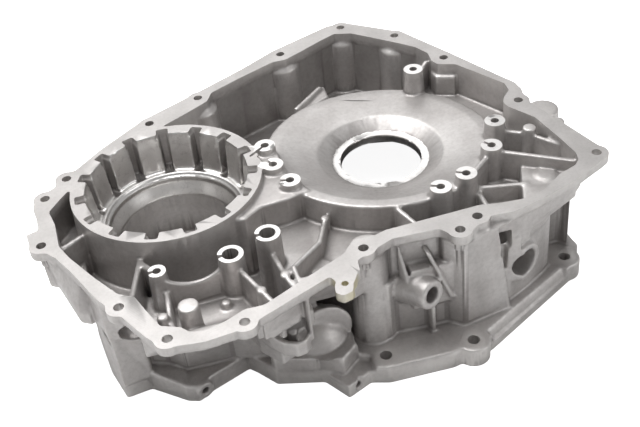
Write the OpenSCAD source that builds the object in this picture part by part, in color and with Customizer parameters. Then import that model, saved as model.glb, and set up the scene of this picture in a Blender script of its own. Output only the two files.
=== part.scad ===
// Torque converter housing: one die casting in aluminium, machined on its joint faces.
// Origin: axis of the converter bore, on its seal face. +Z to the rim, +X away from the final drive ring.

/* [Casting] */
// Height of the machined rim face above the seal face
rim_z = 36; // [30:1:45]
// Underside of the engine flange below the seal face
flange_z = -93; // [-110:1:-80]
// Thickness of the bolted rim
rim_thick = 10; // [8:1:14]
// Inset of the outer wall under the rim
wall_inset = 6; // [4:0.5:9]
// Thickness of floors and roof
floor_thick = 8; // [6:0.5:10]
// Draft widening of cast bosses over their height
boss_draft = 1.6; // [0:0.2:3]

/* [Rim bolts] */
// Diameter of the rim bolt holes
rim_hole_d = 9; // [8:0.1:11]
// Radius of the lobe around each rim bolt
rim_lobe_r = 11; // [10:0.5:14]
// Radius of the cast column under a rim bolt of the far wall
column_r = 18; // [15:0.5:20]
// Height of the bevel at the top of these columns
column_bevel = 7; // [3:0.5:10]
// Diameter of the hole in the small broken lug
lug_hole_d = 6; // [4:0.5:7]

/* [Converter bore] */
// Diameter of the bore the converter hub runs through
bore_d = 79; // [70:0.5:90]
// Diameter of the machined face around the bore
seal_face_d = 95; // [90:0.5:104]
// Diameter of the sloped dish where it meets the roof
dish_d = 123; // [116:1:132]
// Depth of the dish on the bore axis
dish_depth = 18.7; // [15:0.1:22]
// Width of the bevel at the top of the bore
bore_bevel = 1.5; // [0.5:0.1:3]

/* [Converter roof] */
// Diameter of the raised roof over the converter
roof_d = 224; // [218:1:230]
// Slope of the roof in degrees
roof_tilt = 5; // [2:0.1:7]
// Direction the roof climbs to, in degrees
roof_climb = 242; // [220:1:260]

/* [Bell] */
// Outer diameter of the bell wall at the engine flange
bell_d = 338; // [330:1:350]
// Inner diameter of the bell at the engine flange
bell_bore_d = 302; // [290:1:306]
// Thickness of the engine flange
flange_thick = 19; // [14:1:24]
// Diameter of the engine flange bolt holes
flange_hole_d = 11; // [10:0.1:13]
// Radius of the lobes around the engine flange bolts
flange_lobe_r = 15; // [13:0.5:18]

/* [Final drive ring] */
// Distance from the converter bore to the ring's axis
ring_centre = 209; // [205:0.5:213]
// Outer diameter of the ring
ring_d = 180; // [176:0.5:184]
// Inner diameter of the slotted lands at the rim face
land_d = 152; // [148:0.5:156]
// Inner diameter of the lands at their foot
land_foot_d = 145; // [140:0.5:148]
// Number of slot positions around the ring
slot_count = 15; // [12:1:18]
// Width of each slot
slot_w = 9; // [7:0.5:11]
// Radius the slots reach out to
slot_reach = 86; // [84:0.5:88]
// Direction of the first slot
slot_first = 108; // [96:1:120]
// Height of the ledge at the foot of the slots
ledge_z = -5; // [-10:0.5:0]
// Diameter of the polished seat below the ledge
seat_d = 132; // [126:1:138]
// Diameter of the bore through the ring
drive_bore_d = 112; // [106:0.5:118]
// Height where the seat runs out into the bore
seat_foot_z = -25; // [-30:0.5:-20]
// Height of the floor at the foot of the bore
well_z = -74; // [-80:1:-66]
// Thickness of that floor
well_thick = 9; // [6:0.5:12]
// Diameter of the shaft hole in that floor
shaft_hole_d = 62; // [50:0.5:76]

/* [Oil bosses] */
// Diameter of the circle the oil bosses stand on
boss_circle_d = 222; // [218:1:226]
// Diameter of an oil boss at its machined face
boss_d = 20; // [18:0.5:24]
// Diameter of the hole in an oil boss
boss_hole_d = 6; // [4:0.1:7]
// Depth of the hole in an oil boss
boss_hole_depth = 22; // [12:1:30]
// Width of the slit beside the hole
slit_w = 2.8; // [1:0.1:4]
// Depth of the slit
slit_depth = 7; // [3:0.5:10]

/* [Hollow bosses] */
// Diameter of the two large hollow bosses
hollow_d = 23; // [21:0.5:27]
// Bore of the large hollow bosses
hollow_bore_d = 14.5; // [12:0.5:17]
// Depth of the bore in the large hollow bosses
hollow_depth = 40; // [20:1:50]
// Diameter of the small boss beside them
small_boss_d = 16; // [14:0.5:20]
// Bore of the small boss
small_bore_d = 7.5; // [6:0.5:10]

/* [Ribs] */
// Thickness of the cast ribs
rib_t = 5; // [4:0.5:8]
// Height of the floor in the middle pocket
floor_z = 0; // [-4:0.5:4]
// Height of the floor in the deep pockets
deep_z = -38; // [-44:1:-30]
// Height of the floor between the ring and the left wall
left_z = -20; // [-26:1:-14]
// Height of the floor behind the left front corner
bowl_z = -4; // [-8:1:0]
// Height of the shelf by the right ear
shelf_z = 18; // [12:1:24]

/* [Side wall] */
// Diameter of the large hole in the right front wall
side_hole_d = 27; // [22:0.5:30]
// Diameter of the holes at the left front corner
corner_hole_d = 19; // [14:0.5:21]

/* [Tube] */
// Outer diameter of the side tube
tube_d = 27; // [22:0.5:32]
// Bore of the side tube
tube_bore_d = 15; // [10:0.5:19]
// Length of the side tube
tube_len = 34; // [26:1:42]
// Turn of the side tube from the +X direction
tube_turn = -62; // [-80:1:-45]
// Rise of the side tube toward its open end
tube_rise = 7; // [0:1:15]

/* [Hidden] */
eps = 0.5;
cast_grey = [0.62, 0.60, 0.59];
ring_at = [-ring_centre, 0];
rim_low = rim_z - rim_thick;
flange_top = flange_z + flange_thick;
body_z = floor_z - floor_thick - 4;
far_reach = 600;

// Rim bolts, clockwise from the far corner
rim_holes = [
  [23, 206], [72, 163], [104, 97], [141, -9], [169, -116], [36, -159], [16, -170], [-67, -162],
  [-180, -211], [-241, -207], [-273, -157], [-329, -53], [-321, 15], [-299, 39], [-210, 101],
  [-155, 128], [-54, 178]
];
// Rim bolts with a cast column inside the wall below them
column_at = [[23, 206], [72, 163], [-54, 178], [-155, 128]];
// Angles of the oil bosses about the converter bore
oil_angles = [171.4, 188.5, 204.7, 52.9, -17, -37.9, -63.2, -78.6];
// Directions of the slits, one for each oil boss
slit_turns = [215, 120, 165, 0, 90, 125, 150, 150];
// Engine flange bolts
flange_holes = [[140, -123], [18, -194], [-61, -184], [178, 40], [96, 166], [-40, 190], [-138, 132]];
hollow_at = [[-138, -112], [-174, -127]];
small_at = [-237, -125];
ear_hole = [-94, -198];
pin_at = [134, -50];
// Small round ends where the webs meet
bump_at = [[-158, -168], [-135, -157], [-81, -86]];
rib_top = rim_low - 1;
wall_relief = 0.6;

// Outer edge of the rim face
rim_outer = [
  [10, 215], [31, 213], [82, 167], [113, 103], [143, 38], [151, 22], [152, 8], [149, -5], [150, -20],
  [163, -62], [176, -108], [178, -118], [172, -127], [133, -146], [93, -160], [67, -166], [46, -163],
  [36, -168], [24, -176], [10, -178], [0, -163], [-41, -160], [-79, -176], [-131, -197],
  [-172, -214], [-190, -219], [-214, -221], [-245, -216], [-257, -199], [-273, -168], [-289, -142],
  [-307, -98], [-318, -75], [-325, -66], [-338, -58], [-341, -33], [-330, -30], [-331, -6],
  [-333, 2], [-330, 18], [-310, 30], [-309, 41], [-300, 49], [-290, 49], [-263, 74], [-215, 110],
  [-153, 139], [-102, 164], [-60, 188]
];
// Inner edge of the rim face, running behind the ring where the two join
rim_inner = [
  [12, 195], [30, 188], [70, 146], [84, 130], [92, 112], [90, 97], [93, 87], [110, 79], [126, 51],
  [141, 24], [140, 11], [130, 1], [126, -7], [127, -15], [143, -43], [149, -83], [152, -109],
  [150, -119], [143, -126], [126, -132], [104, -147], [87, -153], [60, -150], [44, -146],
  [-43, -147], [-53, -150], [-70, -149], [-79, -156], [-84, -163], [-118, -178], [-161, -198],
  [-177, -197], [-195, -205], [-212, -209], [-223, -206], [-229, -198], [-244, -191], [-250, -176],
  [-259, -150], [-272, -141], [-288, -114], [-306, -80], [-314, -60], [-315, -27], [-319, -7],
  [-308, 8], [-299, 19], [-240, 30], [-203, 88], [-183, 98], [-159, 111], [-147, 118],
  [-140, 132], [-106, 148], [-66, 165], [-52, 164], [-33, 173], [-6, 187]
];
// Pocket between the ring and the left wall; the rim's inner edge bounds it outside
left_pocket = [
  [-209, 0], [-210, 30], [-330, 40], [-330, -124], [-282, -124], [-268, -112], [-246, -108],
  [-228, -126]
];
// Deep pocket between the ring and the oil bosses
deep_left = [
  [-232, -127], [-186, -127], [-168, -128], [-160, -166], [-150, -180], [-134, -172],
  [-136, -157], [-139, -126], [-136, -70], [-120, 0], [-209, 0]
];
// Deep trench along the far wall; the rim's inner edge bounds it outside
deep_far = [[0, 60], [-116, 20], [-120, 90], [-150, 140], [-60, 200], [40, 210], [86, 130], [60, 100]];
// Deep pocket in front of the oil bosses
deep_near = [[-20, -160], [70, -160], [66, -104], [0, -60], [-20, -90]];
// Shelf by the right ear
shelf = [
  [80, -153.5], [91, -131], [109, -85], [149, -113], [154.5, -111], [151, -118], [144, -127.5],
  [112, -143.5], [104, -149], [90, -154.5]
];
// Lower body of the casting below the ring
left_body = [
  [-110, -150], [-158, -148], [-190, -140], [-232, -138], [-246, -128], [-268, -122], [-289, -139],
  [-299, -102], [-304, -62], [-303, 0], [-292, 30], [-276, 54], [-240, 86], [-190, 108], [-120, 120]
];
// Wall of the bell on its near side, set back round the head of the right engine bolt
near_wall = [
  [-120, -100], [-74, -150], [-66, -162], [-50, -167], [-42, -161], [-14, -164], [24, -165],
  [66, -160], [89, -149], [111, -136], [121, -128], [119, -110], [125, -103], [134, -100],
  [144, -101], [150, -110], [158, -74], [120, 0], [-60, 0]
];
// Engine flange on the bell
flange_edge = [
  [158, -88], [160, -112], [145, -135], [36, -195], [-4, -203], [-63, -200], [-79, -194],
  [-102, -204], [-117, -179], [-158, -166], [-172, -146], [-178, -139], [-214, -153],
  [-228, -161], [-238, -157], [-267, -131], [-290, -134], [-300, -98], [-305, -58], [-303, 10],
  [-282, 58], [-240, 88], [-190, 110], [-150, 112], [-100, 158], [-20, 190],
  [60, 188], [130, 150], [176, 90], [190, 30], [184, -30]
];

function polar(r, t) = [r * cos(t), r * sin(t)];

// Everything below the sloping roof plane, lowered by drop
module under_roof(drop) {
  rotate([0, 0, roof_climb])
    translate([0, 0, dish_depth - drop])
      rotate([0, -roof_tilt, 0])
        translate([-far_reach / 2, -far_reach / 2, -far_reach])
          cube([far_reach, far_reach, far_reach]);
}

// Upright web between two plan points, its top falling from za to zb with a sag between
module rib(a, b, t, low, za, zb, sag = 0) {
  run = norm([b[0] - a[0], b[1] - a[1]]);
  steps = sag == 0 ? 1 : 8;
  translate([a[0], a[1], 0])
    rotate([90, 0, atan2(b[1] - a[1], b[0] - a[0])])
      linear_extrude(height = t, center = true)
        polygon(concat([[0, low]], [[run, low]], [
          for (i = [steps:-1:0])
            [run * i / steps, za + (zb - za) * i / steps - 4 * sag * (i / steps) * (1 - i / steps)]
        ]));
}

module post(at, d, low, high, draft = boss_draft) {
  translate([at[0], at[1], low])
    cylinder(h = high - low, r1 = d / 2 + draft, r2 = d / 2, $fn = 32);
}

// Columns of the far wall, their tops bevelled
module columns() {
  for (p = column_at)
    translate([p[0], p[1], 0]) {
      translate([0, 0, deep_z])
        cylinder(h = rim_low - 4 - deep_z, r1 = column_r + 1, r2 = column_r, $fn = 48);
      translate([0, 0, rim_low - 4])
        cylinder(h = column_bevel, r1 = column_r, r2 = column_r - column_bevel, $fn = 48);
    }
}

module rim_plate() {
  translate([0, 0, rim_low])
    linear_extrude(height = rim_thick)
      difference() {
        union() {
          polygon(rim_outer);
          for (p = rim_holes)
            translate(p)
              circle(r = rim_lobe_r, $fn = 32);
        }
        polygon(rim_inner);
      }
}

// Outline of the wall under the rim
module wall_outline() {
  offset(delta = -wall_inset)
    polygon(rim_outer);
}

module upper_walls() {
  translate([0, 0, body_z])
    linear_extrude(height = rim_low - body_z + eps)
      difference() {
        wall_outline();
        polygon(rim_inner);
      }
}

// Floors that close the pockets from below
module floors() {
  translate([0, 0, body_z])
    linear_extrude(height = floor_z - body_z)
      wall_outline();
  translate([0, 0, deep_z - floor_thick])
    linear_extrude(height = floor_thick + floor_z - deep_z - 1)
      union() {
        offset(delta = floor_thick)
          polygon(deep_left);
        offset(delta = floor_thick)
          polygon(deep_far);
        offset(delta = floor_thick)
          polygon(deep_near);
      }
}

// Wall of the bell and the body under the ring, still solid
module lower_body() {
  translate([0, 0, flange_top - 1])
    linear_extrude(height = body_z - flange_top + 2)
      union() {
        polygon(near_wall);
        polygon(left_body);
        intersection() {
          circle(d = bell_d, $fn = 96);
          translate([-bell_d, -60])
            square([2 * bell_d, bell_d]);
        }
      }
  difference() {
    translate([0, 0, flange_z])
      linear_extrude(height = flange_thick)
        polygon(flange_edge);
    flange_step();
  }
  for (p = flange_holes)
    translate([p[0], p[1], flange_z])
      cylinder(h = flange_thick, r = flange_lobe_r, $fn = 40);
}

// Step and groove along the right front edge of the engine flange, between two bolt lobes
module flange_step() {
  translate([36, -195, 0])
    rotate([0, 0, 27.6])
      along_x(0, 112, [[-20, flange_top + 2], [-20, flange_z + 9], [3.5, flange_z + 9],
        [5.5, flange_top - 4], [8, flange_top - 1], [8.5, flange_top + 2]]);
}

// Hollow under the ring, open to the engine side
module body_hollow() {
  translate([0, 0, flange_z - 1])
    linear_extrude(height = deep_z - floor_thick - flange_z + 1)
      offset(delta = -9)
        polygon(left_body);
}

module roof_block() {
  intersection() {
    translate([0, 0, -floor_thick])
      cylinder(h = 60, d = roof_d, $fn = 96);
    under_roof(0);
  }
}

module ring_block() {
  translate([ring_at[0], ring_at[1], deep_z - floor_thick])
    cylinder(h = rim_z - deep_z + floor_thick, d1 = ring_d + 8, d2 = ring_d, $fn = 96);
  translate([ring_at[0], ring_at[1], well_z - well_thick])
    cylinder(h = deep_z - well_z + 1, d1 = drive_bore_d + 16, d2 = drive_bore_d + 20, $fn = 96);
}

module ring_hollow() {
  translate([ring_at[0], ring_at[1], 0])
    rotate_extrude($fn = 96)
      polygon([
        [0, flange_z - 1], [shaft_hole_d / 2, flange_z - 1], [shaft_hole_d / 2, well_z],
        [drive_bore_d / 2, well_z], [drive_bore_d / 2, seat_foot_z],
        [seat_d / 2 - 3, ledge_z - 8], [seat_d / 2 - 3, ledge_z - 3], [seat_d / 2, ledge_z - 3],
        [seat_d / 2, ledge_z], [land_foot_d / 2, ledge_z], [land_d / 2, rim_z - 4],
        [land_d / 2 + 1.5, rim_z + 1], [0, rim_z + 1]
      ]);
  for (i = [0:slot_count - 1])
    translate([ring_at[0], ring_at[1], 0])
      rotate([0, 0, slot_first - i * 360 / slot_count]) {
        translate([land_foot_d / 2 - 3, -slot_w / 2, ledge_z - 1])
          cube([slot_reach - land_foot_d / 2 + 3, slot_w, rim_z - ledge_z + 2]);
        translate([land_d / 2 - 1, -slot_w / 2 - 1.5, rim_z - 5])
          cube([slot_reach - land_d / 2 + 1, slot_w + 3, 6]);
      }
  translate([ring_at[0], ring_at[1], 0])
    rotate([0, 0, slot_first - 5.5 * 360 / slot_count])
      translate([land_d / 2 - 2, -1, rim_z - 12])
        cube([slot_reach - land_d / 2 + 2, 2, 13]);
}

// Space for the converter, cut from the engine side
module bell_hollow() {
  rotate_extrude($fn = 96)
    polygon([
      [0, flange_z - 1], [bell_bore_d / 2, flange_z - 1], [bell_bore_d / 2 - 4, -60],
      [122, deep_z - floor_thick], [roof_d / 2 - 7, deep_z - floor_thick],
      [roof_d / 2 - 7, -floor_thick], [0, -floor_thick]
    ]);
  for (sector = [[208, 42], [324, 54]])
    rotate([0, 0, sector[0]])
      rotate_extrude(angle = sector[1], $fn = 96)
        polygon([
          [roof_d / 2 - 8, deep_z - 12], [144, deep_z - 12], [140, deep_z + 6],
          [128, -floor_thick - 5], [roof_d / 2 - 8, -floor_thick - 5]
        ]);
  difference() {
    intersection() {
      translate([0, 0, -floor_thick - 1])
        cylinder(h = 60, d = roof_d - 15, $fn = 96);
      under_roof(floor_thick);
    }
    translate([0, 0, -floor_thick - 2])
      cylinder(h = 60, d1 = seal_face_d + 16, d2 = dish_d + 120, $fn = 96);
  }
}

// Sloped dish, machined face and bore on the converter axis
module bore_hollow() {
  cylinder(h = dish_depth * 2.2, d1 = seal_face_d,
    d2 = seal_face_d + (dish_d - seal_face_d) * 2.2, $fn = 96);
  translate([0, 0, -floor_thick - 2])
    cylinder(h = floor_thick + 3, d = bore_d, $fn = 96);
  translate([0, 0, -bore_bevel])
    cylinder(h = bore_bevel + 0.01, d1 = bore_d, d2 = bore_d + 2 * bore_bevel, $fn = 96);
}

module oil_boss(t) {
  post(polar(boss_circle_d / 2, t), boss_d, floor_z - 2, rim_z);
}

module oil_boss_holes(i) {
  at = polar(boss_circle_d / 2, oil_angles[i]);
  translate([at[0], at[1], rim_z - boss_hole_depth])
    cylinder(h = boss_hole_depth + 1, d = boss_hole_d, $fn = 24);
  translate([at[0], at[1], rim_z - slit_depth])
    rotate([0, 0, slit_turns[i]])
      translate([boss_hole_d / 2 - 1, -slit_w / 2, 0])
        cube([boss_d, slit_w, slit_depth + 1]);
}

module ribs() {
  b = [for (t = oil_angles) polar(boss_circle_d / 2, t)];
  rib(b[5], [150, -113], rib_t, floor_z - 2, rim_z - 5, rim_z - 5);
  rib(b[4], pin_at, rib_t, floor_z - 2, rim_z - 9, rim_z - 11);
  rib(pin_at, [150, -84], rib_t, floor_z - 2, rim_z - 11, rim_z - 6);
  rib(b[5], b[6], rib_t, floor_z - 2, rim_z - 6, rim_z - 8);
  rib(b[6], [104, -113], rib_t, deep_z, rim_z - 17, shelf_z + 1);
  rib(b[3], [88, 105], rib_t, floor_z - 2, rim_z - 12, rim_z - 3);
  rib([-20, -110], [-6, -150], rib_t, floor_z - 2, rim_z - 10, rim_z - 12);
  rib([60, -99], [58, -152], rib_t, deep_z, rim_z - 20, rim_z - 20);
  // Webs of the front left pockets
  rib([-249, -80], [-262, -149], rib_t, left_z - 2, 17, 35);
  rib([-250, -84], [-239, -118], rib_t, left_z - 2, 18, 30);
  rib([-232, -131], [-184, -130], rib_t, bowl_z - 2, 29, 27, 9);
  rib([-233, -129], [-236, -167], rib_t, bowl_z - 3, 19, 17);
  rib([-236, -166], [-235, -183], rib_t, bowl_z + 7, 17, 21);
  rib([-235, -182], [-234, -200], rib_t, rim_low - 7, 20.5, rim_low);
  rib([-170, -134], bump_at[0], rib_t, deep_z, rib_top, rib_top);
  rib(bump_at[0], [-148, -196], rib_t, bowl_z - 5, rib_top, rib_top);
  rib([-138, -118], bump_at[1], rib_t, deep_z, 21, rib_top);
  rib(bump_at[1], [-129, -184], rib_t, bowl_z - 4, rib_top, rib_top);
  rib(bump_at[1], [-95, -119], rib_t, floor_z - 2, rib_top, 18);
  rib([-95, -119], bump_at[2], rib_t, floor_z - 2, 18, 14);
  rib([-294, -36], [-318, -56], rib_t, left_z - 2, 24, 28);
}

module saddle() {
  translate([0, 0, deep_z])
    linear_extrude(height = rim_z - 7 - deep_z)
      polygon([[-128, 34], [-102, 26], [-98, 0], [-100, -30], [-86, -58], [-108, -64], [-134, -66],
        [-152, -78], [-168, -74], [-130, 0]]);
}

module bumps() {
  for (p = [bump_at[0], bump_at[1]])
    post(p, 9, bowl_z - 1, rib_top + 1, 0.6);
  post(bump_at[2], 8, floor_z - 2, 16, 0.6);
  post([-54, -134], 8, floor_z - 2, rim_z - 16, 0.6);
  post([-187, -146], 9, bowl_z - 1, bowl_z + 6, 0.6);
  post(pin_at, 13, floor_z - 2, rim_z - 4);
  post([-219, -172], 18, bowl_z - 1, rim_z - 3, 0.8);
  post([-241, -167], 10, bowl_z - 1, rib_top - 1);
  post([124, -107], 19, shelf_z - 1, shelf_z + 1.5, 0.4);
  post([-98, -134], 20, floor_z - 1, floor_z + 1.5, 0.4);
  post([-141, 65], 15, deep_z, rim_z - 9);
}

// Block with two ridges between the roof and the far wall
module far_block() {
  translate([0, 0, deep_z])
    linear_extrude(height = 2 - deep_z)
      polygon([[-60, 100], [-50, 98], [-22, 112], [-17, 122], [-16, 150], [-24, 148], [-56, 118]]);
  rib([-58, 109], [-21, 144], 5, deep_z, 8, 6.5);
  rib([-51, 102], [-20, 120], 5, deep_z, 9, 8);
}

// Boss pad on the far right wall
module wall_pad() {
  translate([0, 0, floor_z - 1])
    linear_extrude(height = rim_low - 2 - floor_z)
      polygon([[91, 104], [88, 94], [90, 84], [108, 75.5], [114, 82], [104, 100]]);
}

// Prism along X, its section given in Y and Z
module along_x(x0, x1, section) {
  translate([x0, 0, 0])
    rotate([90, 0, 90])
      linear_extrude(height = x1 - x0)
        polygon(section);
}

// Spaces outside the body where the wall is set back under the rim
module setbacks() {
  along_x(-262, -166, [[-240, rim_low], [-204, rim_low], [-172, body_z - 1], [-240, body_z - 1]]);
  along_x(-124, -82, [[-240, rim_low], [-176, rim_low], [-160, body_z - 1], [-240, body_z - 1]]);
  translate([0, 0, body_z - 1])
    linear_extrude(height = rim_low - body_z + 1)
      polygon([[-291, -141], [-266, -152], [-262, -173], [-262, -240], [-300, -240]]);
  // Above the cup-shaped lug
  translate([0, 0, body_z - 1])
    linear_extrude(height = 4 - body_z)
      polygon([[-166, -186], [-128, -186], [-128, -230], [-166, -230]]);
  // Outside the right pocket, where the ear overhangs the wall
  translate([0, 0, body_z - 1])
    linear_extrude(height = rim_low - body_z + 1)
      polygon([[157, -40], [157, -112], [151, -124], [140, -133], [150, -160], [210, -160], [210, -40]]);
  // Under the right ear, round the head of the engine bolt
  translate([0, 0, body_z - 1])
    linear_extrude(height = shelf_z - 10 - body_z)
      polygon([[89, -150], [111, -137], [121, -128], [119, -110], [125, -103], [134, -100],
        [144, -101], [150, -110], [155, -88], [200, -88], [200, -180], [89, -180]]);
}

// Sloping walls inside these setbacks
module scoops() {
  intersection() {
    union() {
      along_x(-262, -166, [[-206, rim_low + 1], [-195, rim_low + 1], [-163, bowl_z - 1],
        [-163, body_z], [-172, body_z]]);
      along_x(-170, -120, [[-187, 5], [-172, 5], [-166, bowl_z - 1], [-166, body_z], [-187, body_z]]);
      along_x(-124, -78, [[-178, rim_low + 1], [-168, rim_low + 1], [-150, floor_z - 1],
        [-150, body_z], [-160, body_z]]);
    }
    translate([0, 0, body_z])
      linear_extrude(height = rim_low - body_z + 1)
        wall_outline();
  }
}

// Foot of the left wall, flaring out below the rim
module left_flare() {
  hull() {
    translate([0, 0, body_z])
      linear_extrude(height = 12)
        polygon([[-336, -22], [-322, -70], [-310, -112], [-301, -118], [-290, -106], [-318, -16]]);
    translate([0, 0, rim_low - 1])
      linear_extrude(height = 1)
        polygon([[-333, -22], [-330, -52], [-318, -75], [-303, -106], [-290, -106], [-318, -16]]);
  }
  translate([0, 0, body_z])
    linear_extrude(height = rim_low - body_z)
      polygon([[-290, -140], [-302, -102], [-290, -90], [-262, -152], [-266, -152]]);
}

// Cup-shaped lug under the front left of the rim, with a web beside it and a ledge above
module bracket() {
  cup = [[-125, -150], [-124, -188], [-127, -196], [-133, -202], [-141, -203], [-151, -197],
    [-160, -185], [-170, -165], [-170, -150]];
  difference() {
    translate([0, 0, -28])
      linear_extrude(height = 16)
        polygon(cup);
    translate([0, 0, -22])
      linear_extrude(height = 20)
        offset(delta = -4)
          polygon(cup);
  }
  rib([-126, -150], [-126, -195], 4, -27, rim_low + 1, rim_low + 1);
  translate([0, 0, 2])
    linear_extrude(height = 5.5)
      polygon([[-160, -204], [-133, -193], [-131, -180], [-160, -186]]);
  post([-140, -187], 8, -23, -12, 0.5);
}

// Parts of the outer wall on the engine side
module outside() {
  post([-61, -150], 32, flange_top - 1, rim_low + 1, 3);
  // Box beside the side tube
  translate([0, 0, flange_top - 1])
    linear_extrude(height = rim_low - flange_top + 2)
      polygon([[2, -150], [2, -162], [18, -175], [64, -168], [70, -150]]);
  // Pad round the hole right of the box
  translate([81, -150, -36])
    rotate([90, 0, 30])
      cylinder(h = 8, d1 = 42, d2 = 38, $fn = 40);
  // Rounded end of a blind space behind the front left recess
  translate([-107, -163, -50])
    sphere(r = 26, $fn = 40);
  // Lip along the front left of the engine flange
  translate([0, 0, flange_top - 1])
    linear_extrude(height = 15)
      polygon([[-160, -158], [-158, -166], [-112, -183], [-101, -188], [-84, -174], [-86, -168],
        [-110, -174]]);
  // Nose with a side hole
  translate([0, 0, flange_z])
    linear_extrude(height = 30)
      polygon([[-116, -178], [-102, -203], [-79, -193], [-84, -168]]);
  // Boss of the side hole at the front left corner
  translate([-224, -152, flange_z + 10])
    rotate([90, 0, 20])
      cylinder(h = 9, d1 = 19, d2 = 17, $fn = 32);
  post([178, 12], 32, flange_top - 1, 4, 1);
  post([182, -14], 14, flange_top - 1, 4, 1);
  // Thin ribs between the side tube and the rim
  rib([-36, -158], [-31, -169], 3.5, -24, rim_low, -8);
  translate([0, -158, 0])
    rotate([90, 0, 0])
      linear_extrude(height = 13)
        polygon([[-15, 18], [-11, 18], [10, -40], [6, -40]]);
  rib([-14, -158], [-10, -172], 4, flange_top - 1, -34, -46);
}

module side_tube() {
  translate([-30, -152, -24])
    rotate([0, 90 - tube_rise, tube_turn])
      cylinder(h = tube_len, d1 = tube_d + 9, d2 = tube_d, $fn = 40);
}

module side_tube_bore() {
  translate([-30, -152, -24])
    rotate([0, 90 - tube_rise, tube_turn])
      translate([0, 0, 8])
        cylinder(h = tube_len, d = tube_bore_d, $fn = 32);
}

// Small lug on the rim, broken across its hole
module broken_lug() {
  translate([0, 0, rim_low])
    linear_extrude(height = rim_thick)
      polygon([[-84, -170], [-76, -174], [-78, -188], [-84, -202], [-91, -209], [-99, -211],
        [-104, -206], [-103, -199], [-100, -193], [-104, -184]]);
}

// Holes and windows in the outer wall
module wall_holes() {
  // Oval holes of the left front corner
  translate([-294, -124, -18])
    rotate([90, 0, 107])
      translate([0, 0, -20])
        cylinder(h = 40, d = corner_hole_d, $fn = 32);
  translate([-273, -125, -25])
    rotate([90, 0, 39])
      translate([0, 0, -20])
        cylinder(h = 40, d = corner_hole_d, $fn = 32);
  // Window and oval hole of the right front wall
  translate([60, -150, -10])
    linear_extrude(height = 20)
      polygon([[-6, 10], [-6, -20], [8, -20], [8, 10]]);
  translate([81, -150, -36])
    rotate([90, 0, 30])
      translate([0, 0, -34])
        cylinder(h = 58, d = side_hole_d, $fn = 40);
  // Side holes of the engine flange
  translate([-224, -152, flange_z + 10])
    rotate([90, 0, 20])
      cylinder(h = 30, d = 7, center = true, $fn = 24);
  translate([-90, -198, flange_z + 12])
    rotate([90, 0, 23])
      translate([0, 0, -12])
        cylinder(h = 30, d = 6, $fn = 24);
}

module holes() {
  for (p = rim_holes)
    translate([p[0], p[1], rim_low - 1])
      cylinder(h = rim_thick + 2, d = rim_hole_d, $fn = 24);
  for (p = column_at)
    translate([p[0], p[1], rim_low - 20])
      cylinder(h = 30, d = rim_hole_d, $fn = 24);
  for (p = flange_holes)
    translate([p[0], p[1], flange_z - 1])
      cylinder(h = flange_thick + 2, d = flange_hole_d, $fn = 24);
  for (i = [0:len(oil_angles) - 1])
    oil_boss_holes(i);
  for (p = hollow_at)
    translate([p[0], p[1], rim_z - hollow_depth])
      cylinder(h = hollow_depth + 1, d = hollow_bore_d, $fn = 32);
  translate([small_at[0], small_at[1], rim_z - 25])
    cylinder(h = 26, d = small_bore_d, $fn = 24);
  translate([ear_hole[0], ear_hole[1], rim_low - 1])
    cylinder(h = rim_thick + 2, d = lug_hole_d, $fn = 20);
}

// Pocket with upright walls from a plan region, kept inside the rim's inner edge
module pocket(floor_at, region) {
  translate([0, 0, floor_at])
    linear_extrude(height = 100)
      intersection() {
        polygon(region);
        offset(delta = wall_relief)
          polygon(rim_inner);
      }
}

module pockets() {
  pocket(deep_z, deep_left);
  pocket(deep_z, deep_far);
  pocket(deep_z, deep_near);
  pocket(body_z + floor_thick + 1, left_pocket);
  // Its deeper part stays inside the body below the floor
  intersection() {
    pocket(left_z, left_pocket);
    translate([0, 0, left_z - 1])
      linear_extrude(height = 102)
        offset(delta = -wall_inset)
          polygon(left_body);
  }
  pocket(bowl_z, [[-258, -100], [-264, -142], [-264, -220], [-118, -220], [-118, -176],
    [-134, -150], [-139, -110], [-190, -110]]);
}

module housing() {
  color(cast_grey)
    difference() {
      union() {
        difference() {
          union() {
            upper_walls();
            floors();
            lower_body();
            left_flare();
          }
          pockets();
          bell_hollow();
          body_hollow();
          setbacks();
        }
        difference() {
          roof_block();
          bell_hollow();
        }
        scoops();
        rim_plate();
        ring_block();
        saddle();
        for (t = oil_angles)
          oil_boss(t);
        for (p = hollow_at)
          post(p, hollow_d, deep_z - 2, rim_z);
        post(small_at, small_boss_d, bowl_z - 2, rim_z);
        ribs();
        bumps();
        far_block();
        wall_pad();
        bracket();
        outside();
        side_tube();
        broken_lug();
        translate([0, 0, floor_z - 1])
          linear_extrude(height = shelf_z - floor_z + 1)
            polygon(shelf);
        intersection() {
          columns();
          translate([0, 0, deep_z - 1])
            linear_extrude(height = rim_z - deep_z)
              wall_outline();
        }
      }
      ring_hollow();
      bore_hollow();
      side_tube_bore();
      wall_holes();
      holes();
    }
}

housing();
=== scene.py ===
import math

import bmesh
import bpy
import numpy as np
from mathutils import Matrix


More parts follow.
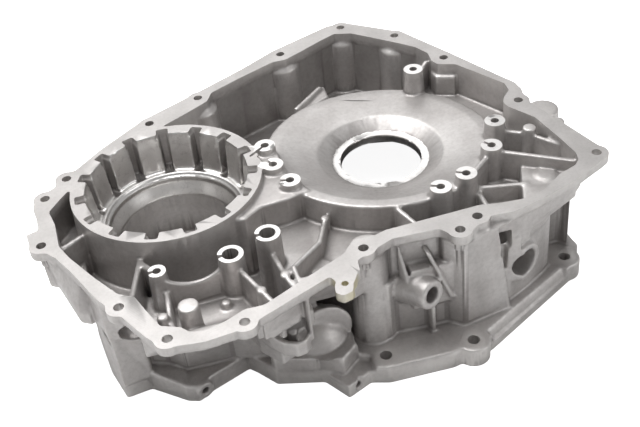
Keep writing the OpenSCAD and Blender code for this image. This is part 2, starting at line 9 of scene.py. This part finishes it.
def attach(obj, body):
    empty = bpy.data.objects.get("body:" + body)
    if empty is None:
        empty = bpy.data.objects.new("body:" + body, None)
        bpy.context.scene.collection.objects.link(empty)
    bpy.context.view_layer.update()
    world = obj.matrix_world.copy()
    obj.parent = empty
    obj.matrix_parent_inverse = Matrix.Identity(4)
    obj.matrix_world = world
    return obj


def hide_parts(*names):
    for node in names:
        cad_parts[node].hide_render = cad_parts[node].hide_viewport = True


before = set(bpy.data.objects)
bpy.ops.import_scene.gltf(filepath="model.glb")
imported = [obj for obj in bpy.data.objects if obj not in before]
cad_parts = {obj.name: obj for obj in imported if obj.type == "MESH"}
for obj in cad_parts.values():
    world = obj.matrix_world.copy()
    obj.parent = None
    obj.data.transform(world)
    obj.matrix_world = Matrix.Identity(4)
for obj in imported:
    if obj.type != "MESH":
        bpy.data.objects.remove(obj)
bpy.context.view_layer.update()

# Heights and places in metres, repeated from the part's source
RIM_Z = 0.036          # machined rim face
FLANGE_Z = -0.093      # machined engine face
RING_AXIS = (-0.209, 0.0)
STOCK = 0.003          # metal left on a cast face until it is milled off
FLOOR_GAP = 0.0002     # keeps the floor clear of the engine face
MM = 0.001

# Sizes and plan places in mm
RIM_HOLES = [
    (23, 206), (72, 163), (104, 97), (141, -9), (169, -116), (36, -159), (16, -170),
    (-67, -162), (-180, -211), (-241, -207), (-273, -157), (-329, -53), (-321, 15),
    (-299, 39), (-210, 101), (-155, 128), (-54, 178),
]
FLANGE_HOLES = [
    (140, -123), (18, -194), (-61, -184), (178, 40), (96, 166), (-40, 190), (-138, 132),
]
OIL_CIRCLE = 111       # radius of the circle of oil bosses
OIL_HOLE_R = 4.0
OIL_HOLES = [
    (OIL_CIRCLE * math.cos(math.radians(a)), OIL_CIRCLE * math.sin(math.radians(a)))
    for a in (171.4, 188.5, 204.7, 52.9, -17, -37.9, -63.2, -78.6)
]
HOLLOW_BOSSES = [(-138, -112), (-174, -127)]
SMALL_BOSS = (-237, -125)
LUG_HOLE = (-94, -198)
BORE_R = 39.5
ROOF_CLIMB = 242       # degrees, the way the converter roof climbs
ROOF_SLOPE = 0.0875    # its slope, 5 degrees

# How the skin is drawn
VOXEL = 0.0011
SOFT_PASSES = 7
TRIANGLES = 190000
SHARP_ANGLE = 52       # degrees between faces from which an edge is drawn sharp
SKIN_GAP = 5e-5        # a face within it of a milled plane, in metres, lies on that plane
LEVEL_FACE = 0.97      # upward part of the normal from which a face counts as level
BOSS_REACH = 0.0125    # metres from a boss's axis to where its top ends


def holes():
    """Rows of axis x, axis y, radius, lowest z and highest z, in mm, of every upright drilled hole."""
    rows = [(x, y, 4.5, 14, 40) for x, y in RIM_HOLES]
    rows += [(x, y, 5.5, -97, -73) for x, y in FLANGE_HOLES]
    rows += [(x, y, OIL_HOLE_R, 14, 40) for x, y in OIL_HOLES]
    rows += [(x, y, 7.25, -4, 40) for x, y in HOLLOW_BOSSES]
    rows += [(*SMALL_BOSS, 3.75, 11, 40), (*LUG_HOLE, 3, 24, 40), (0, 0, BORE_R, -9, -1.2)]
    return np.array(rows) * MM


def solid(name, rings):
    """Closed prism through rings of corners given in mm, each ring with as many corners as the next."""
    rings = np.array(rings, float) * MM
    count, size = rings.shape[:2]
    sides = [(i, (i + 1) % size) for i in range(size)]
    faces = [tuple(range(size))[::-1], tuple(range((count - 1) * size, count * size))]
    for row in range(count - 1):
        low, high = row * size, (row + 1) * size
        faces += [(low + i, low + j, high + j, high + i) for i, j in sides]
    mesh = bpy.data.meshes.new(name)
    mesh.from_pydata(rings.reshape(-1, 3).tolist(), [], faces)
    return mesh


def level(z, corners):
    """Plan corners put at one height."""
    return [(x, y, z) for x, y in corners]


def upright(name, low, high, corners):
    """Prism with the same plan corners at both heights."""
    return solid(name, [level(low, corners), level(high, corners)])


def circle(radius, z, x=0.0, y=0.0, tilt=0.0):
    """Ring of corners in mm, at (x + r cos t, y + r sin t, z + tilt r cos(t - ROOF_CLIMB))."""
    t = np.linspace(0.0, 2.0 * np.pi, 96, endpoint=False)
    rise = tilt * radius * np.cos(t - math.radians(ROOF_CLIMB))
    return np.column_stack((x + radius * np.cos(t), y + radius * np.sin(t), z + rise))


def drill(name, middle, turn, length, radius, tall=1.0):
    """Level cylinder in mm round a middle point, pointing to turn degrees, tall times as high as wide."""
    t = np.linspace(0.0, 2.0 * np.pi, 40, endpoint=False)
    along = np.array([math.cos(math.radians(turn)), math.sin(math.radians(turn)), 0.0])
    side = np.array([-along[1], along[0], 0.0])
    ring = np.outer(np.cos(t), side) * radius + np.outer(np.sin(t), (0.0, 0.0, 1.0)) * radius * tall
    ends = [np.array(middle) + along * length * k + ring for k in (-0.5, 0.5)]
    return solid(name, ends)


def redrawn(node, voxel):
    """Closed copy of a CAD node on an even grid, its rim and engine faces grown by the milling stock."""
    mesh = node.data.copy()
    bm = bmesh.new()
    bm.from_mesh(mesh)
    bmesh.ops.remove_doubles(bm, verts=bm.verts, dist=1e-6)
    bm.to_mesh(mesh)
    bm.free()
    places = points(mesh)
    places[:, 2] += STOCK * (places[:, 2] > RIM_Z - 1e-5) - STOCK * (places[:, 2] < FLANGE_Z + 1e-5)
    move(mesh, places)
    rough = bpy.data.objects.new("rough", mesh)
    bpy.context.scene.collection.objects.link(rough)
    tools = []
    for operation, pieces in corrections():
        tool = joined(operation.lower(), pieces)
        tools.append(tool)
        change = rough.modifiers.new(operation.lower(), "BOOLEAN")
        change.operation = operation
        change.solver = "EXACT"
        change.use_self = True
        change.object = tool
    grid = rough.modifiers.new("grid", "REMESH")
    grid.mode = "VOXEL"
    grid.voxel_size = voxel
    graph = bpy.context.evaluated_depsgraph_get()
    drawn = bpy.data.meshes.new_from_object(rough.evaluated_get(graph))
    for unused in [rough] + tools:
        bpy.data.objects.remove(unused)
    return drawn


def joined(name, pieces):
    """One object from several closed meshes."""
    bm = bmesh.new()
    for piece in pieces:
        bm.from_mesh(piece)
    bmesh.ops.recalc_face_normals(bm, faces=bm.faces)
    mesh = bpy.data.meshes.new(name)
    bm.to_mesh(mesh)
    bm.free()
    whole = bpy.data.objects.new(name, mesh)
    bpy.context.scene.collection.objects.link(whole)
    return whole


def cut_away():
    """Metal that the solid has and the photograph lacks."""
    nose = [(-122, -176), (-101, -189), (-84, -175), (-74, -180), (-74, -210), (-122, -210)]
    return [
        # Front left corner, where the wall goes straight up to the rim
        solid("corner_front", [
            level(-70.0, [(-291, -141), (-262, -135), (-262, -190), (-300, -190)]),
            level(25.9, [(-291, -143), (-261.8, -154.5), (-261.8, -190), (-300, -190)]),
        ]),
        # Nose of the engine flange, lower than in the solid
        upright("nose_top", -79.0, -60.5, nose),
        # Rounded end, set back before it is added anew further left
        upright("round_end_front", -60.0, -20.0, [(-136, -158), (-79, -158), (-79, -195), (-136, -195)]),
        # Box beside the side tube, its right edge leaning left, clear of the window and the oval hole
        solid("box_right", [
            level(-73.0, [(65, -185), (80, -185), (80, -159), (65, -159)]),
            level(25.9, [(51, -185), (80, -185), (80, -160), (51, -160)]),
        ]),
        # Broken side of the lug on the rim
        solid("lug_break", [
            level(18.0, [
                (-87, -200), (-83, -196), (-80, -190), (-74, -191), (-75, -217), (-91, -217), (-87, -208),
            ]),
            level(41.0, [
                (-88, -201), (-84, -195), (-81, -189), (-74, -189), (-75, -217), (-94, -217), (-91, -208),
            ]),
        ]),
    ]


def built_on():
    """Metal that the photograph shows and the solid lacks."""
    nose = [(-115, -178), (-102, -202), (-80, -192), (-84, -170)]
    ball_r, ball_z = 32.0, -70.0
    return [
        # Front left corner, closed down to a lip that rises toward the corner
        solid("corner_wall", [
            level(-75.0, [(-290, -138), (-262, -133), (-262, -118), (-285, -118)]),
            level(-4.0, [(-290, -141), (-262, -146), (-262, -122), (-285, -122)]),
            level(26.5, [(-290, -142), (-262, -153), (-264, -144), (-284, -132)]),
        ]),
        solid("corner_lip", [
            [(-290, -134, -92), (-267, -131, -92), (-262, -112, -92), (-285, -112, -92)],
            [(-290, -136, -61), (-266, -133, -68), (-262, -112, -68), (-285, -112, -61)],
        ]),
        solid("corner_lip_right", [
            [(-267, -131, -92), (-238, -157, -92), (-234, -140, -92), (-260, -112, -92)],
            [(-267, -132, -68), (-238, -157, -73), (-234, -140, -73), (-260, -112, -68)],
        ]),
        # Wall under the flatter dish, parallel to the roof's plane further out
        solid("dish_wall", [
            circle(54, -7), circle(80, 5, tilt=ROOF_SLOPE), circle(104, 8.7, tilt=ROOF_SLOPE),
            circle(104, 17.7, tilt=ROOF_SLOPE),
        ]),
        # Low nose, solid where the old hole was
        upright("nose", -92.0, -79.5, nose),
        # Rounded end, its lower half behind the lip of the flange
        solid("round_end", [
            circle(max(ball_r * math.sin(k), 0.5), ball_z - ball_r * math.cos(k), -115.0, -146.0)
            for k in np.linspace(0.26 * np.pi, np.pi, 21)
        ]),
    ]


def drilled():
    """Holes, slots and turned hollows that are cut last."""
    pieces = [
        drill("end_hole", (-296, -130, -19), 220, 44, 10.0),
        drill("front_hole", (-268, -143, -5), 100, 40, 12.0),
        drill("nose_hole", (-92, -198, -86), -67, 30, 3.0),
        drill("side_hole", (82, -152, -36), -60, 44, 8.0, 1.65),
        # Slot between the box and the wall, narrower downwards
        solid("window_slot", [
            level(-34.0, [(61, -176), (64, -176), (64, -155), (61, -155)]),
            level(8.0, [(55, -178), (66, -178), (66, -149), (55, -149)]),
        ]),
        # Bore with its bevel, machined face, dish and the slope up to the roof's plane
        solid("dish", [
            circle(BORE_R, -20), circle(BORE_R, -1), circle(BORE_R + 1, 0), circle(47.5, 0),
            circle(62, 9.5), circle(100, 18.7, tilt=ROOF_SLOPE), circle(100, 50),
        ]),
        # Opened mouth of the bell
        solid("bell_mouth", [circle(150, -84), circle(164, -98)]),
    ]
    for index, (x, y) in enumerate(OIL_HOLES):
        ends = [circle(OIL_HOLE_R, z, x, y) for z in (16, 42)]
        pieces.append(solid("oil_hole_%d" % index, ends))
    # Notches at the left of the hollow bosses and the small one
    for index, (x, y) in enumerate(HOLLOW_BOSSES + [SMALL_BOSS]):
        corners = [(x - 15, y - 1.7), (x - 3, y - 1.7), (x - 3, y + 1.7), (x - 15, y + 1.7)]
        pieces.append(upright("notch_%d" % index, 30.5, 42.0, corners))
    return pieces


def corrections():
    """What the photograph asks for beyond the solid, in the order in which it is done."""
    return (("DIFFERENCE", cut_away()), ("UNION", built_on()), ("DIFFERENCE", drilled()))


def rows(items, name):
    """One row of three numbers for each vertex or face."""
    flat = np.empty(len(items) * 3, np.float32)
    items.foreach_get(name, flat)
    return flat.reshape(-1, 3)


def points(mesh):
    """Vertex places of a mesh as an array of rows."""
    return rows(mesh.vertices, "co").astype(float)


def move(mesh, places):
    """Puts the vertices of a mesh at the rows of an array."""
    mesh.vertices.foreach_set("co", places.astype(np.float32).ravel())
    mesh.update()


def near_hole(places, margin):
    """For each vertex, true where it lies on the wall of a drilled hole, give or take the margin."""
    found = np.zeros(len(places), bool)
    for x, y, r, low, high in holes():
        away = np.hypot(places[:, 0] - x, places[:, 1] - y)
        found |= (away < r + margin) & (places[:, 2] > low) & (places[:, 2] < high)
    return found


def bored(places, reach):
    """Vertices within reach of a drilled hole's wall, moved square to its axis onto that wall."""
    for x, y, r, low, high in holes():
        dx, dy = places[:, 0] - x, places[:, 1] - y
        away = np.hypot(dx, dy)
        on = (np.abs(away - r) < reach) & (places[:, 2] > low) & (places[:, 2] < high)
        k = np.where(on, r / np.maximum(away, 1e-6), 1.0)
        places[:, 0] = x + dx * k
        places[:, 1] = y + dy * k
    return places


def softened(mesh, passes, share, give):
    """Each pass moves a vertex p to p + share * give * (mean of its neighbours - p)."""
    places = points(mesh)
    edges = np.empty(len(mesh.edges) * 2, np.int32)
    mesh.edges.foreach_get("vertices", edges)
    a, b = edges.reshape(-1, 2).T
    count = len(places)
    order = np.maximum(np.bincount(a, minlength=count) + np.bincount(b, minlength=count), 1)
    for _ in range(passes):
        for axis in range(3):
            line = places[:, axis]
            total = np.bincount(a, line[b], count) + np.bincount(b, line[a], count)
            places[:, axis] = line + share * give * (total / order - line)
    return places


def turned_zone(places):
    """For each vertex, true on what a lathe turned: the ring's lands and seat, and the converter's face."""
    ring = np.hypot(places[:, 0] - RING_AXIS[0], places[:, 1] - RING_AXIS[1])
    bore = np.hypot(places[:, 0], places[:, 1])
    z = places[:, 2]
    return ((ring < 0.0875) & (z > -0.047)) | ((bore < 0.0485) & (z > -0.012) & (z < 0.004))


def casting(voxel, passes, triangles):
    """The whole casting: redrawn, softened where it is cast, milled flat, bored, and thinned out."""
    mesh = redrawn(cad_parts["housing"], voxel)
    places = points(mesh)
    give = np.where(turned_zone(places), 0.25, 1.0)
    give = np.where(near_hole(places, 0.0012), 0.12, give)
    places = softened(mesh, passes, 0.5, give)
    places = bored(places, 1.1 * voxel)
    places[:, 2] = np.clip(places[:, 2], FLANGE_Z, RIM_Z)
    # The converter's machined face lies at z = 0
    flat = (np.hypot(places[:, 0], places[:, 1]) < 0.0475) & (np.abs(places[:, 2]) < 0.0009)
    places[flat, 2] = 0.0
    move(mesh, places)
    piece = bpy.data.objects.new("casting_skin", mesh)
    bpy.context.scene.collection.objects.link(piece)
    thin = piece.modifiers.new("thin", "DECIMATE")
    thin.ratio = triangles / (2.0 * len(mesh.polygons))
    # Thinned mesh in place of the fine one, clipped again to the milled planes
    graph = bpy.context.evaluated_depsgraph_get()
    final = bpy.data.meshes.new_from_object(piece.evaluated_get(graph))
    piece.modifiers.clear()
    piece.data = final
    places = points(final)
    places[:, 2] = np.clip(places[:, 2], FLANGE_Z, RIM_Z)
    move(final, places)
    final.shade_smooth()
    final.set_sharp_from_angle(angle=math.radians(SHARP_ANGLE))
    store_relief(final, 8, 0.0012)
    return piece


def store_relief(mesh, passes, depth):
    """Keeps on each vertex 0.5 + 0.5 * rise / depth, its rise being over the softened mesh."""
    rise = points(mesh) - softened(mesh, passes, 0.5, 1.0)
    proud = (rise * rows(mesh.vertex_normals, "vector")).sum(axis=1) / depth
    relief = mesh.attributes.new("relief", "FLOAT", "POINT")
    relief.data.foreach_set("value", np.clip(0.5 + 0.5 * proud, 0.0, 1.0).astype(np.float32))


def linear(code):
    """Linear colour with alpha from an sRGB hex code."""
    parts = [int(code[i:i + 2], 16) / 255 for i in (1, 3, 5)]
    return [c / 12.92 if c <= 0.04045 else ((c + 0.055) / 1.055) ** 2.4 for c in parts] + [1.0]


def add(tree, kind, inputs=None, **settings):
    """Adds a node, gives it its settings, and sets or links its inputs."""
    node = tree.nodes.new(kind)
    for name, value in settings.items():
        setattr(node, name, value)
    for name, value in (inputs or {}).items():
        if isinstance(value, bpy.types.NodeSocket):
            tree.links.new(value, node.inputs[name])
        else:
            node.inputs[name].default_value = value
    return node


def new_material(name):
    """An empty node material, its tree and its output node."""
    material = bpy.data.materials.new(name)
    material.use_nodes = True
    material.node_tree.nodes.clear()
    return material, material.node_tree


def noise(tree, place, size, detail=2.0, rough=0.5):
    """Cloudy pattern whose blobs are about size metres wide."""
    return add(tree, "ShaderNodeTexNoise", {
        "Vector": place, "Scale": 1 / size, "Detail": detail, "Roughness": rough,
    }).outputs["Fac"]


def between(tree, value, low, high, out_low=0.0, out_high=1.0):
    """Value stretched from low..high to out_low..out_high and held inside."""
    return add(tree, "ShaderNodeMapRange", {
        "Value": value, "From Min": low, "From Max": high, "To Min": out_low, "To Max": out_high,
    }).outputs["Result"]


def mix(tree, share, first, second, blend="MIX"):
    """Two colours mixed by a share; each is a hex code or a socket."""
    node = add(tree, "ShaderNodeMix", data_type="RGBA", blend_type=blend)
    for index, value in ((0, share), (6, first), (7, second)):
        if isinstance(value, bpy.types.NodeSocket):
            tree.links.new(value, node.inputs[index])
        elif isinstance(value, str):
            node.inputs[index].default_value = linear(value)
        else:
            node.inputs[index].default_value = value
    return node.outputs[2]


def spot(tree, place, centre, radius):
    """Share that is 1 up to 0.6 of the radius round a centre and 0 from the radius on, both in mm."""
    away = add(tree, "ShaderNodeVectorMath", {
        0: place, 1: [c * MM for c in centre],
    }, operation="DISTANCE").outputs["Value"]
    return between(tree, away, radius * 0.6 * MM, radius * MM, 1.0, 0.0)


def scratch(tree, place, middle, turn, length):
    """Share that is 1 on a straight mark 2 mm wide round a middle point in mm, turned in plan."""
    turned = add(tree, "ShaderNodeMapping", {
        "Vector": place, "Location": [c * MM for c in middle], "Rotation": (0.0, 0.0, math.radians(turn)),
    }, vector_type="TEXTURE").outputs[0]
    flat = add(tree, "ShaderNodeVectorMath", {
        0: turned, 1: (2.0 / length, 1.0, 0.0),
    }, operation="MULTIPLY").outputs[0]
    away = add(tree, "ShaderNodeVectorMath", {0: flat}, operation="LENGTH").outputs["Value"]
    return between(tree, away, 0.6 * MM, MM, 1.0, 0.0)


def cast_aluminium():
    """Die cast aluminium, shot blasted: dull mid grey with cloudy flow marks, painted shade in its hollows,
    and edges painted pale, partly as a painted highlight and partly as metal rubbed pale.
    """
    material, tree = new_material("cast_aluminium")
    place = add(tree, "ShaderNodeTexCoord").outputs["Object"]
    relief = add(tree, "ShaderNodeAttribute", attribute_name="relief").outputs["Fac"]
    clouds = between(tree, noise(tree, place, 0.045, 3.0, 0.6), 0.35, 0.65)
    flecks = between(tree, noise(tree, place, 0.004, 4.0, 0.65), 0.4, 0.7)
    colour = mix(tree, clouds, "#b8b4b2", "#c8c5c3")
    colour = mix(tree, between(tree, flecks, 0.0, 1.0, 0.0, 0.22), colour, "#8f8a88")
    # Painted shade: darker in the hollows, where less light reaches
    colour = mix(tree, between(tree, relief, 0.5, 0.15, 0.0, 0.55), colour, "#5f5957")
    # Edges painted pale: partly a painted highlight, partly metal rubbed pale
    colour = mix(tree, between(tree, relief, 0.62, 1.0, 0.0, 0.5), colour, "#dcd9d6")
    # Fracture of the lug, pale and yellowish, and the scratch on the converter roof
    colour = mix(tree, spot(tree, place, (-93, -198, 30), 17), colour, "#d8d1b6")
    colour = mix(tree, scratch(tree, place, (5, 93, 10), -21.5, 38.0), colour, "#3e3a39")
    grain = noise(tree, place, 0.0009, 2.0, 0.6)
    waves = noise(tree, place, 0.008, 2.0, 0.5)
    height = add(tree, "ShaderNodeMath", {0: grain, 1: waves}, operation="ADD").outputs[0]
    bump = add(tree, "ShaderNodeBump", {
        "Strength": 0.25, "Distance": 0.0004, "Height": height,
    }).outputs["Normal"]
    shader = add(tree, "ShaderNodeBsdfPrincipled", {
        "Base Color": colour, "Metallic": 0.7,
        "Roughness": between(tree, flecks, 0.0, 1.0, 0.4, 0.52), "Normal": bump,
    })
    add(tree, "ShaderNodeOutputMaterial", {"Surface": shader.outputs[0]})
    return material


def milled_aluminium():
    """Milled face: pale, satin, with faint arcs left by the cutter."""
    material, tree = new_material("milled_aluminium")
    place = add(tree, "ShaderNodeTexCoord").outputs["Object"]
    arcs = add(tree, "ShaderNodeTexWave", {
        "Vector": place, "Scale": 180.0, "Distortion": 1.2, "Detail": 2.0, "Detail Scale": 0.4,
    }, wave_type="RINGS", rings_direction="Z").outputs["Fac"]
    clouds = between(tree, noise(tree, place, 0.03, 3.0), 0.35, 0.65)
    flecks = between(tree, noise(tree, place, 0.003, 4.0, 0.7), 0.45, 0.75)
    colour = mix(tree, clouds, "#b6b3b1", "#c3c0be")
    colour = mix(tree, between(tree, flecks, 0.0, 1.0, 0.0, 0.3), colour, "#9c9896")
    bump = add(tree, "ShaderNodeBump", {
        "Strength": 0.1, "Distance": 0.0002, "Height": arcs,
    }).outputs["Normal"]
    shader = add(tree, "ShaderNodeBsdfPrincipled", {
        "Base Color": colour, "Metallic": 0.75, "Roughness": 0.5, "Normal": bump,
    })
    add(tree, "ShaderNodeOutputMaterial", {"Surface": shader.outputs[0]})
    return material


def turned_aluminium():
    """Fine turned seat, bore and boss tops: near white and glossy, with small grey scuffs."""
    material, tree = new_material("turned_aluminium")
    place = add(tree, "ShaderNodeTexCoord").outputs["Object"]
    clouds = between(tree, noise(tree, place, 0.02, 3.0), 0.35, 0.65)
    scuffs = between(tree, noise(tree, place, 0.005, 4.0, 0.7), 0.5, 0.75)
    colour = mix(tree, clouds, "#d8d6d4", "#e8e6e4")
    colour = mix(tree, between(tree, scuffs, 0.0, 1.0, 0.0, 0.5), colour, "#a5a19f")
    shader = add(tree, "ShaderNodeBsdfPrincipled", {
        "Base Color": colour, "Metallic": 1.0, "Roughness": 0.3,
    })
    add(tree, "ShaderNodeOutputMaterial", {"Surface": shader.outputs[0]})
    return material


def finish_faces(piece):
    """Gives each face its finish by where its centre lies and how it faces."""
    mesh = piece.data
    mesh.materials.clear()
    for material in (cast_aluminium(), milled_aluminium(), turned_aluminium()):
        mesh.materials.append(material)
    milled, turned = 1, 2
    centre, up = rows(mesh.polygons, "center"), rows(mesh.polygons, "normal")[:, 2]
    z = centre[:, 2]
    kind = np.zeros(len(mesh.polygons), np.int32)
    kind[(z > RIM_Z - SKIN_GAP) & (up > LEVEL_FACE)] = milled
    kind[(z < FLANGE_Z + SKIN_GAP) & (up < -LEVEL_FACE)] = milled
    # Machined face and bore of the converter
    bore = np.hypot(centre[:, 0], centre[:, 1])
    kind[(bore < 0.0476) & (np.abs(z) < 3e-4)] = turned
    kind[(bore < 0.0412) & (z < -1e-4) & (z > -0.0105)] = turned
    # Inside of the ring down to its seat
    ring = np.hypot(centre[:, 0] - RING_AXIS[0], centre[:, 1] - RING_AXIS[1])
    kind[(ring < 0.0772) & (z > -0.0265) & (z < RIM_Z - SKIN_GAP)] = turned
    # Tops of the bosses
    for x, y in OIL_HOLES + HOLLOW_BOSSES + [SMALL_BOSS]:
        near = np.hypot(centre[:, 0] - x * MM, centre[:, 1] - y * MM) < BOSS_REACH
        kind[near & (kind == milled)] = turned
    mesh.polygons.foreach_set("material_index", kind)


def floor():
    """Pale plain floor under the casting: white to the camera, with its shadow, and clear from below."""
    mesh = bpy.data.meshes.new("floor")
    corners = [(x, y, FLANGE_Z - FLOOR_GAP) for x, y in ((-4, -4), (4, -4), (4, 4), (-4, 4))]
    mesh.from_pydata(corners, [], [(0, 1, 2, 3)])
    plane = bpy.data.objects.new("floor", mesh)
    bpy.context.scene.collection.objects.link(plane)
    material, tree = new_material("pale_floor")
    path = add(tree, "ShaderNodeLightPath")
    seen = add(tree, "ShaderNodeMath", {
        0: path.outputs["Is Camera Ray"], 1: 0.92,
    }, operation="MULTIPLY").outputs[0]
    matt = add(tree, "ShaderNodeBsdfDiffuse", {"Color": linear("#f0f0f0")})
    glow = add(tree, "ShaderNodeEmission", {"Strength": seen})
    both = add(tree, "ShaderNodeAddShader", {0: matt.outputs[0], 1: glow.outputs[0]})
    under = add(tree, "ShaderNodeNewGeometry").outputs["Backfacing"]
    clear = add(tree, "ShaderNodeBsdfTransparent")
    shown = add(tree, "ShaderNodeMixShader", {0: under, 1: both.outputs[0], 2: clear.outputs[0]})
    add(tree, "ShaderNodeOutputMaterial", {"Surface": shown.outputs[0]})
    mesh.materials.append(material)


def lamp(name, place, size, power, target=(-0.08, 0.0, 0.0)):
    """Square soft box at a place, facing the target."""
    data = bpy.data.lights.new(name, "AREA")
    data.size = size
    data.energy = power
    light = bpy.data.objects.new(name, data)
    bpy.context.scene.collection.objects.link(light)
    forward = np.array(target) - np.array(place)
    forward = forward / np.linalg.norm(forward)
    side = np.cross(forward, (0.0, 0.0, 1.0))
    side = side / np.linalg.norm(side)
    up = np.cross(side, forward)
    light.matrix_world = Matrix([
        (side[0], up[0], -forward[0], place[0]),
        (side[1], up[1], -forward[1], place[1]),
        (side[2], up[2], -forward[2], place[2]),
        (0, 0, 0, 1),
    ])


def studio():
    """Light tent: an even pale sky, a large soft box above, and weaker ones at the right and behind."""
    world = bpy.data.worlds.new("studio")
    bpy.context.scene.world = world
    world.use_nodes = True
    tree = world.node_tree
    tree.nodes.clear()
    path = add(tree, "ShaderNodeLightPath")
    lit = add(tree, "ShaderNodeBackground", {"Color": linear("#ffffff"), "Strength": 0.4})
    seen = add(tree, "ShaderNodeBackground", {"Color": linear("#ffffff"), "Strength": 1.0})
    pick = add(tree, "ShaderNodeMixShader", {
        0: path.outputs["Is Camera Ray"], 1: lit.outputs[0], 2: seen.outputs[0],
    })
    add(tree, "ShaderNodeOutputWorld", {"Surface": pick.outputs[0]})
    lamp("softbox_top", (-0.45, 0.35, 1.6), 1.4, 28.0)
    lamp("softbox_front", (1.5, -1.2, 0.9), 1.0, 7.0)
    lamp("softbox_back", (0.25, 1.7, 1.4), 1.3, 6.5)


def camera():
    """The photograph's view: 38.75 degrees down, rolled 7 degrees."""
    data = bpy.data.cameras.new("camera")
    data.lens = 57.94
    data.sensor_width = 36.0
    data.clip_start = 0.05
    view = bpy.data.objects.new("camera", data)
    bpy.context.scene.collection.objects.link(view)
    right = (0.958, -0.2705, -0.0949)
    up = (0.2419, 0.585, 0.7741)
    forward = (0.1538, 0.7646, -0.6259)
    place = (-0.2269, -0.7922, 0.59915)
    view.matrix_world = Matrix([
        (right[i], up[i], -forward[i], place[i]) for i in range(3)
    ] + [(0, 0, 0, 1)])
    bpy.context.scene.camera = view


skin = casting(VOXEL, SOFT_PASSES, TRIANGLES)
finish_faces(skin)
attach(skin, "root")
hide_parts("housing")
floor()
studio()
camera()
bpy.context.scene.view_settings.view_transform = "Standard"
